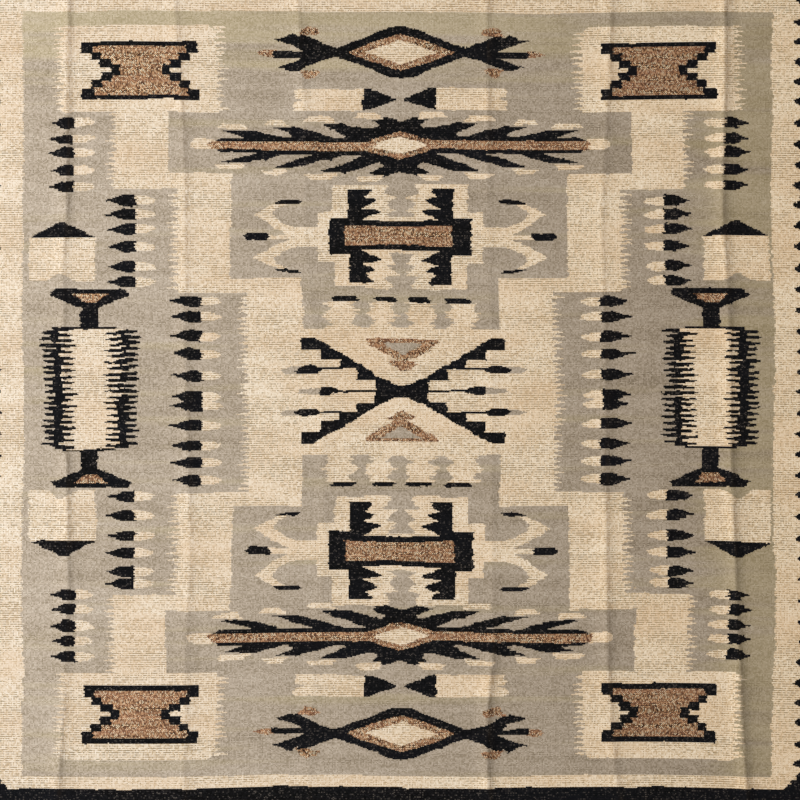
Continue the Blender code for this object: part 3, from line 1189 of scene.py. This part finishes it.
def add_node(tree: bpy.types.NodeTree, kind: str, inputs: dict[Any, Any] | None = None,
             **settings: Any) -> bpy.types.Node:
    """Add one node, set it up and link what feeds it.

    Args:
        tree: The material's node tree.
        kind: The node's type.
        inputs: By socket name or number, a value, or the node or socket to link.
        settings: The node's own properties.

    Returns:
        The new node.
    """
    node = tree.nodes.new(kind)
    for name, value in settings.items():
        setattr(node, name, value)
    for key, value in (inputs or {}).items():
        if isinstance(value, bpy.types.Node):
            tree.links.new(value.outputs[0], node.inputs[key])
        elif isinstance(value, bpy.types.NodeSocket):
            tree.links.new(value, node.inputs[key])
        else:
            node.inputs[key].default_value = value
    return node


@dataclass(frozen=True)
class WeaveSurface:
    """How a weft-faced cloth looks close up: round ribs over the warps, crossed by picks.

    Sizes are in millimetres.
    """

    warp: float = 3.66
    pick: float = 1.55
    rib_height: float = 0.05
    pick_height: float = 0.09
    fibre_height: float = 0.12
    fibre_size: float = 1.6
    soil_and_shade_size: float = 16.0


@dataclass(frozen=True)
class WoolFinish:
    """Hand-spun wool, woven weft-faced: matt, with a soft sheen from its loose fibres.

    The shades run from the darkest to the lightest. Each share says how much of their spread
    comes from one cause: the fleece along a weft, the weft as a whole, the painted shade in the
    groove between the pairs of picks that lock over one warp, the two plies that turn up by turns,
    worn patches, and the dye lot of a band. Sizes are in millimetres.
    """

    name: str
    shades: tuple[str, ...]
    stops: tuple[float, ...]
    tint: str
    tint_share: float
    # The colour of the dirt and painted shade on each fold's right flank.
    soil_and_shade: str
    # Painted shade: the wool is multiplied towards this colour at the right side.
    right_side_shade: str
    grain_length: float
    grain_share: float
    streak_share: float
    groove_shade_share: float
    ply_share: float
    blotch_share: float
    band_share: float
    seed: float
    streak_length: float = 34.0
    pair_size: Point = (60.0, 9.0)
    pair_least: float = 0.0
    groove_shade_size: Point = (110.0, 34.0)
    blotch_size: float = 70.0
    band_size: Point = (420.0, 26.0)
    tint_size: Point = (150.0, 60.0)
    tint_from: Point = (0.38, 0.68)
    second_lot: float = 0.0
    second_lot_from: Point = (1000.0, 1030.0)
    soil_and_shade_share: float = 0.6
    roughness: float = 0.94
    specular: float = 0.12
    sheen: float = 0.1
    weave: WeaveSurface = WeaveSurface()

    def material(self) -> bpy.types.Material:
        """Build the material.

        Returns:
            The finished material.
        """
        material = bpy.data.materials.new(self.name)
        material.use_nodes = True
        tree = material.node_tree
        shader = tree.nodes["Principled BSDF"]
        place = add_node(tree, "ShaderNodeUVMap", uv_map=WEAVE_MAP)
        flat = add_node(tree, "ShaderNodeSeparateXYZ", {0: place})
        across, along = flat.outputs["X"], flat.outputs["Y"]
        shade = self.shade(tree, place, across, along)
        colour = self.dyed(tree, place, across, along, shade)
        height = self.relief(tree, place, across, along)
        bump = add_node(tree, "ShaderNodeBump", {"Height": height, "Distance": MM})
        tree.links.new(colour.outputs[MIX_RESULT], shader.inputs["Base Color"])
        tree.links.new(bump.outputs[0], shader.inputs["Normal"])
        shader.inputs["Roughness"].default_value = self.roughness
        shader.inputs["IOR"].default_value = 1.55
        shader.inputs["Specular IOR Level"].default_value = self.specular
        shader.inputs["Sheen Weight"].default_value = self.sheen
        shader.inputs["Sheen Roughness"].default_value = 0.45
        return material

    def noise(self, tree: bpy.types.NodeTree, place: bpy.types.Node, size: Point,
              detail: float = 2.0, layer: float = 0.0) -> bpy.types.Node:
        """Add a soft noise over the flat cloth.

        Args:
            tree: The material's node tree.
            place: The place on the flat cloth, in metres.
            size: How wide and how deep its patches are, in millimetres.
            detail: How many finer layers it has.
            layer: A number that keeps one noise apart from another.

        Returns:
            The noise node.
        """
        scaled = add_node(tree, "ShaderNodeVectorMath",
                          {0: place, 1: (1 / (size[0] * MM), 1 / (size[1] * MM), 0.0),
                           2: (self.seed, layer, self.seed + layer)}, operation="MULTIPLY_ADD")
        return add_node(tree, "ShaderNodeTexNoise",
                        {"Vector": scaled, "Scale": 1.0, "Detail": detail},
                        noise_dimensions="3D")

    def shade(self, tree: bpy.types.NodeTree, place: bpy.types.Node,
              across: bpy.types.NodeSocket, along: bpy.types.NodeSocket) -> bpy.types.Node:
        """Work out how light or dark the yarn is at each place, from 0 to 1.

        Args:
            tree: The material's node tree.
            place: The place on the flat cloth, in metres.
            across: How far across the cloth, in metres.
            along: How far along the cloth, in metres.

        Returns:
            The node that gives the shade.
        """
        pick = add_node(tree, "ShaderNodeMath", {0: along, 1: 1 / (self.weave.pick * MM)},
                        operation="MULTIPLY")
        pick_number = add_node(tree, "ShaderNodeMath", {0: pick}, operation="FLOOR")
        run = add_node(tree, "ShaderNodeMath", {0: across, 1: 1 / (self.grain_length * MM)},
                       operation="MULTIPLY")
        run_number = add_node(tree, "ShaderNodeMath", {0: run}, operation="FLOOR")
        fleck = add_node(tree, "ShaderNodeCombineXYZ",
                         {0: run_number, 1: pick_number, 2: self.seed})
        grain = add_node(tree, "ShaderNodeTexWhiteNoise", {"Vector": fleck},
                         noise_dimensions="3D")
        pick_step = add_node(tree, "ShaderNodeMath", {0: pick_number, 1: 7.31},
                             operation="MULTIPLY")
        length = add_node(tree, "ShaderNodeMath", {0: across, 1: 1 / (self.streak_length * MM)},
                          operation="MULTIPLY")
        weft = add_node(tree, "ShaderNodeCombineXYZ", {0: length, 1: pick_step, 2: self.seed})
        streak = add_node(tree, "ShaderNodeTexNoise",
                          {"Vector": weft, "Scale": 1.0, "Detail": 1.0}, noise_dimensions="3D")
        looseness = add_node(tree, "ShaderNodeMapRange",
                             {"Value": self.noise(tree, place, self.pair_size, layer=3.0),
                              "From Min": 0.3, "From Max": 0.7, "To Min": self.pair_least})
        # How deep the painted groove shade is, patch by patch.
        groove_shade_depth = add_node(tree, "ShaderNodeMapRange",
                        {"Value": self.noise(tree, place, self.groove_shade_size, 2.0, 4.0),
                         "From Min": 0.36, "From Max": 0.64, "To Min": 0.6, "To Max": 1.5})
        # Painted shade: every second pick is darkened, as in the groove between pairs of picks.
        upper = add_node(tree, "ShaderNodeMath", {0: pick_number, 1: 2.0}, operation="MODULO")
        open_pair_shade = add_node(tree, "ShaderNodeMath", {0: upper, 1: looseness},
                             operation="MULTIPLY")
        pair_groove_shade = add_node(tree, "ShaderNodeMath", {0: open_pair_shade, 1: groove_shade_depth}, operation="MULTIPLY")
        diagonal = add_node(tree, "ShaderNodeMath", {0: run_number, 1: pick_number},
                            operation="ADD")
        turned_up = add_node(tree, "ShaderNodeMath", {0: diagonal, 1: 2.0}, operation="MODULO")
        twist = add_node(tree, "ShaderNodeTexWhiteNoise",
                         {"Vector": fleck, "W": 1.0}, noise_dimensions="4D")
        ply = add_node(tree, "ShaderNodeMath", {0: turned_up, 1: twist}, operation="MULTIPLY")
        blotch = self.noise(tree, place, (self.blotch_size, self.blotch_size), 3.0, 5.0)
        band = self.noise(tree, place, self.band_size, 2.0, 7.0)
        parts = ((grain, self.grain_share), (streak, self.streak_share),
                 (pair_groove_shade, self.groove_shade_share), (ply, self.ply_share), (blotch, self.blotch_share),
                 (band, self.band_share))
        total: Any = 0.5 - sum(share for _, share in parts) / 2
        for part, share in parts:
            total = add_node(tree, "ShaderNodeMath", {0: part, 1: share, 2: total},
                             operation="MULTIPLY_ADD")
        return total

    def dyed(self, tree: bpy.types.NodeTree, place: bpy.types.Node,
             across: bpy.types.NodeSocket, along: bpy.types.NodeSocket,
             shade: bpy.types.Node) -> bpy.types.Node:
        """Colour the yarn by shade and dye, painted shade to the right, and dirt and painted shade
        in the folds.

        Args:
            tree: The material's node tree.
            place: The place on the flat cloth, in metres.
            across: How far across the cloth, in metres.
            along: How far along the cloth, in metres.
            shade: How light the yarn is, from 0 to 1.

        Returns:
            A mix node whose result is the colour.
        """
        ramp = add_node(tree, "ShaderNodeValToRGB", {"Fac": shade})
        while len(ramp.color_ramp.elements) < len(self.shades):
            ramp.color_ramp.elements.new(0.5)
        for element, stop, colour in zip(ramp.color_ramp.elements, self.stops, self.shades):
            element.position = stop
            element.color = linear_colour(colour)
        right, far = (
            add_node(tree, "ShaderNodeMapRange",
                     {"Value": way, "From Min": start * MM, "From Max": (start + 80.0) * MM})
            for way, start in zip((across, along), self.second_lot_from))
        second_lot = add_node(tree, "ShaderNodeMath", {0: right, 1: far}, operation="MAXIMUM")
        patch = add_node(tree, "ShaderNodeMath",
                         {0: second_lot, 1: self.second_lot,
                          2: self.noise(tree, place, self.tint_size, 2.0, 11.0)},
                         operation="MULTIPLY_ADD")
        dye = add_node(tree, "ShaderNodeMapRange",
                       {"Value": patch, "From Min": self.tint_from[0],
                        "From Max": self.tint_from[1], "To Max": self.tint_share})
        tinted = add_node(tree, "ShaderNodeMix",
                          {MIX_FACTOR: dye, MIX_A: ramp, MIX_B: linear_colour(self.tint)},
                          data_type="RGBA")
        # Painted shade: each wool darkens from the left side to the right.
        share = add_node(tree, "ShaderNodeMath", {0: across, 1: 1 / (CLOTH_ACROSS * MM)},
                         operation="MULTIPLY")
        right_shaded = add_node(tree, "ShaderNodeMix",
                        {MIX_FACTOR: share, MIX_A: tinted.outputs[MIX_RESULT],
                         MIX_B: linear_colour(self.right_side_shade)},
                        data_type="RGBA", blend_type="MULTIPLY")
        # Dirt and painted shade along each fold's right flank, in patches.
        layer = add_node(tree, "ShaderNodeAttribute", attribute_name=SOIL_AND_SHADE_LAYER)
        patches = add_node(tree, "ShaderNodeMapRange",
                           {"Value": self.noise(tree, place, (4.0, self.weave.soil_and_shade_size), 3.0,
                                                13.0),
                            "From Min": 0.36, "From Max": 0.62, "To Max": self.soil_and_shade_share})
        soiled_and_shaded = add_node(tree, "ShaderNodeMath", {0: layer.outputs["Fac"], 1: patches},
                          operation="MULTIPLY", use_clamp=True)
        return add_node(tree, "ShaderNodeMix",
                        {MIX_FACTOR: soiled_and_shaded, MIX_A: right_shaded.outputs[MIX_RESULT],
                         MIX_B: linear_colour(self.soil_and_shade)}, data_type="RGBA")

    def relief(self, tree: bpy.types.NodeTree, place: bpy.types.Node,
               across: bpy.types.NodeSocket, along: bpy.types.NodeSocket) -> bpy.types.Node:
        """Add up the height of the ribs, the picks and the loose fibres, in millimetres.

        Each weft passes over every other warp, so the picks of one rib stand half a pick
        higher than those of the next.

        Args:
            tree: The material's node tree.
            place: The place on the flat cloth, in metres.
            across: How far across the cloth, in metres.
            along: How far along the cloth, in metres.

        Returns:
            The node that gives the height.
        """
        weave = self.weave
        rib = add_node(tree, "ShaderNodeMath", {0: across, 1: 1 / (weave.warp * MM)},
                       operation="MULTIPLY")
        rib_number = add_node(tree, "ShaderNodeMath", {0: rib}, operation="FLOOR")
        odd = add_node(tree, "ShaderNodeMath", {0: rib_number, 1: 2.0}, operation="MODULO")
        shift = add_node(tree, "ShaderNodeMath", {0: odd, 1: 0.5}, operation="MULTIPLY")
        bead = add_node(tree, "ShaderNodeMath", {0: along, 1: 1 / (weave.pick * MM), 2: shift},
                        operation="MULTIPLY_ADD")
        # Fibres are finer than the render can show, so they are drawn a millimetre and a half
        # thick.
        fibres = self.noise(tree, place, (weave.fibre_size, weave.fibre_size), 2.0, 17.0)
        total = add_node(tree, "ShaderNodeMath", {0: fibres, 1: weave.fibre_height},
                         operation="MULTIPLY")
        for part, height in ((rib, weave.rib_height), (bead, weave.pick_height)):
            over = add_node(tree, "ShaderNodeMath", {0: part}, operation="FRACT")
            away = add_node(tree, "ShaderNodeMath", {0: over, 1: 2.0, 2: -1.0},
                            operation="MULTIPLY_ADD")
            square = add_node(tree, "ShaderNodeMath", {0: away, 1: away}, operation="MULTIPLY")
            total = add_node(tree, "ShaderNodeMath", {0: square, 1: -height, 2: total},
                             operation="MULTIPLY_ADD")
        return total


# Undyed cream fleece: warm, beaded with small shadows, yellowed and stained in patches.
CREAM_WOOL = WoolFinish(
    name="hand_spun_cream_wool",
    shades=("#9F8B6D", "#C8B292", "#DFCBB0", "#EAD9C3", "#F5E9D8"),
    stops=(0.02, 0.27, 0.5, 0.7, 0.95),
    tint="#DEBB95", tint_share=0.3, soil_and_shade="#8A6642", right_side_shade="#FFF8EB",
    grain_length=1.83, grain_share=0.75, streak_share=0.45, groove_shade_share=-0.75, ply_share=0.25,
    blotch_share=0.3, band_share=0.2, seed=1.0, streak_length=9.0, pair_size=(6.0, 4.0),
    pair_least=0.25,
)

# Black and white fleece carded together: a soft grey in bands, yellower and lighter in the
# second dye lot, at the right side and the far end.
GREY_WOOL = WoolFinish(
    name="carded_grey_wool",
    shades=("#827461", "#A69782", "#BBAC9A", "#CABBA9", "#DFD4C4"),
    stops=(0.02, 0.3, 0.5, 0.7, 0.98),
    tint="#DACA8E", tint_share=0.25, soil_and_shade="#6F5A40", right_side_shade="#D7D2CB",
    grain_length=1.83, grain_share=0.5, streak_share=0.3, groove_shade_share=-0.12, ply_share=0.1,
    blotch_share=0.22, band_share=0.45, seed=2.0, streak_length=16.0, tint_size=(400.0, 22.0),
    tint_from=(0.56, 0.8), second_lot=0.3, weave=WeaveSurface(fibre_height=0.07),
)

# Fleece dyed black: nearly flat, with a few paler hairs that lie along the wefts.
BLACK_WOOL = WoolFinish(
    name="dyed_black_wool",
    shades=("#030303", "#090909", "#111011", "#1B1A1C", "#56504B"),
    stops=(0.05, 0.3, 0.55, 0.8, 1.0),
    tint="#11141C", tint_share=0.4, soil_and_shade="#332A21", right_side_shade="#F4EEE8",
    grain_length=1.83, grain_share=0.72, streak_share=0.55, groove_shade_share=-0.3, ply_share=0.25,
    blotch_share=0.2, band_share=0.1, seed=3.0, streak_length=10.0, sheen=0.02, specular=0.08,
)

# Brown and white fleece spun together: a tweed whose flecks run from tan to dark brown.
BROWN_WOOL = WoolFinish(
    name="tweed_brown_wool",
    shades=("#382418", "#815D42", "#BA9068", "#DEB38A", "#FFEECC"),
    stops=(0.04, 0.27, 0.5, 0.72, 0.97),
    tint="#BC8668", tint_share=0.4, soil_and_shade="#5A4230", right_side_shade="#D6D0CA",
    grain_length=1.3, grain_share=1.0, streak_share=0.4, groove_shade_share=-0.25, ply_share=0.8,
    blotch_share=0.15, band_share=0.2, seed=4.0, streak_length=14.0, tint_size=(140.0, 7.0),
)

WOOLS = {
    Yarn.CREAM: CREAM_WOOL,
    Yarn.GREY: GREY_WOOL,
    Yarn.BLACK: BLACK_WOOL,
    Yarn.BROWN: BROWN_WOOL,
}


# The rug and the studio


@dataclass(frozen=True)
class Rug:
    """The rug itself: the chart, the cloth's mesh and its four wools."""

    name: str = "rug_cloth"
    cloth: Cloth = Cloth()
    pattern: StormPattern = StormPattern()

    def build(self) -> bpy.types.Object:
        """Weave, shape and dress the cloth.

        Returns:
            The finished piece, riding on the CAD body.
        """
        chart = Chart(self.cloth.face_across, self.cloth.face_along)
        self.pattern.weave(chart)
        piece = ClothMesh(self.cloth, chart).make(self.name)
        for yarn in Yarn:
            piece.data.materials.append(WOOLS[yarn].material())
        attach(piece, CAD_BODY)
        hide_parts(CAD_NODE)
        return piece


@dataclass(frozen=True)
class OverheadCamera:
    """A camera straight above the rug, up along +Y, that frames a square of it."""

    over: Point = (2.8, -8.5)
    field: float = 1128.0
    lens: float = 85.0
    sensor: float = 36.0
    surface_height: float = 4.0

    def build(self) -> bpy.types.Object:
        """Hang the camera and make it the scene's.

        Returns:
            The camera.
        """
        data = bpy.data.cameras.new("overhead_camera")
        data.type = "PERSP"
        data.lens = self.lens
        data.sensor_width = self.sensor
        data.sensor_fit = "HORIZONTAL"
        camera = bpy.data.objects.new("overhead_camera", data)
        height = self.field * self.lens / self.sensor + self.surface_height
        camera.location = (self.over[0] * MM, self.over[1] * MM, height * MM)
        bpy.context.scene.collection.objects.link(camera)
        bpy.context.scene.camera = camera
        return camera


@dataclass(frozen=True)
class SoftLight:
    """A large area light that shines on the middle of the rug."""

    name: str
    at: tuple[float, float, float]
    side: float
    watts: float
    colour: str = "#FFFFFF"

    def build(self) -> bpy.types.Object:
        """Hang the light.

        Returns:
            The light.
        """
        data = bpy.data.lights.new(self.name, "AREA")
        data.shape = "SQUARE"
        data.size = self.side
        data.energy = self.watts
        data.color = linear_colour(self.colour)[:3]
        light = bpy.data.objects.new(self.name, data)
        light.location = self.at
        light.rotation_euler = (-Vector(self.at)).to_track_quat("-Z", "Y").to_euler()
        bpy.context.scene.collection.objects.link(light)
        return light


@dataclass(frozen=True)
class Studio:
    """The plain pale floor and the soft light of the photograph's setting."""

    floor_side: float = 7.0
    floor_drop: float = 0.0004
    floor_colour: str = "#DAD8D4"
    sky_colour: str = "#F4F2EE"
    sky_strength: float = 0.36
    lights: tuple[SoftLight, ...] = (
        SoftLight("raking_light", (-5.0, 0.6, 2.3), 1.5, 370.0),
        SoftLight("fill_light", (0.3, -0.2, 3.4), 2.6, 18.0),
    )

    def build(self) -> None:
        """Lay the floor, hang the lights and set the sky."""
        half = self.floor_side / 2
        mesh = bpy.data.meshes.new("pale_floor")
        corners = [(-half, -half, 0.0), (half, -half, 0.0), (half, half, 0.0), (-half, half, 0.0)]
        mesh.from_pydata(corners, [], [(0, 1, 2, 3)])
        floor = bpy.data.objects.new("pale_floor", mesh)
        floor.location = (0.0, 0.0, -self.floor_drop)
        bpy.context.scene.collection.objects.link(floor)
        material = bpy.data.materials.new("painted_floor")
        material.use_nodes = True
        tree = material.node_tree
        shader = tree.nodes["Principled BSDF"]
        grain = add_node(tree, "ShaderNodeTexNoise", {"Scale": 9.0, "Detail": 3.0})
        tone = add_node(tree, "ShaderNodeMix",
                        {MIX_FACTOR: grain, MIX_A: linear_colour(self.floor_colour),
                         MIX_B: linear_colour("#D2D0CB")}, data_type="RGBA")
        tree.links.new(tone.outputs[MIX_RESULT], shader.inputs["Base Color"])
        shader.inputs["Roughness"].default_value = 0.8
        mesh.materials.append(material)
        for light in self.lights:
            light.build()
        world = bpy.data.worlds.new("studio_sky")
        world.use_nodes = True
        sky = world.node_tree.nodes["Background"]
        sky.inputs["Color"].default_value = linear_colour(self.sky_colour)
        sky.inputs["Strength"].default_value = self.sky_strength
        bpy.context.scene.world = world
        bpy.context.scene.view_settings.view_transform = "Standard"


def main() -> None:
    """Build the camera, the rug and the studio."""
    logging.basicConfig(level=logging.INFO, format="%(name)s: %(message)s")
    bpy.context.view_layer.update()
    camera = OverheadCamera().build()
    log.info("%s at %.3f m", camera.name, camera.location.z)
    rug = Rug().build()
    log.info("%s: %d points, %d faces", rug.name, len(rug.data.vertices), len(rug.data.polygons))
    Studio().build()
    log.info("floor and %d lights", len(Studio().lights))
    bpy.context.view_layer.update()


if __name__ == "__main__":
    main()
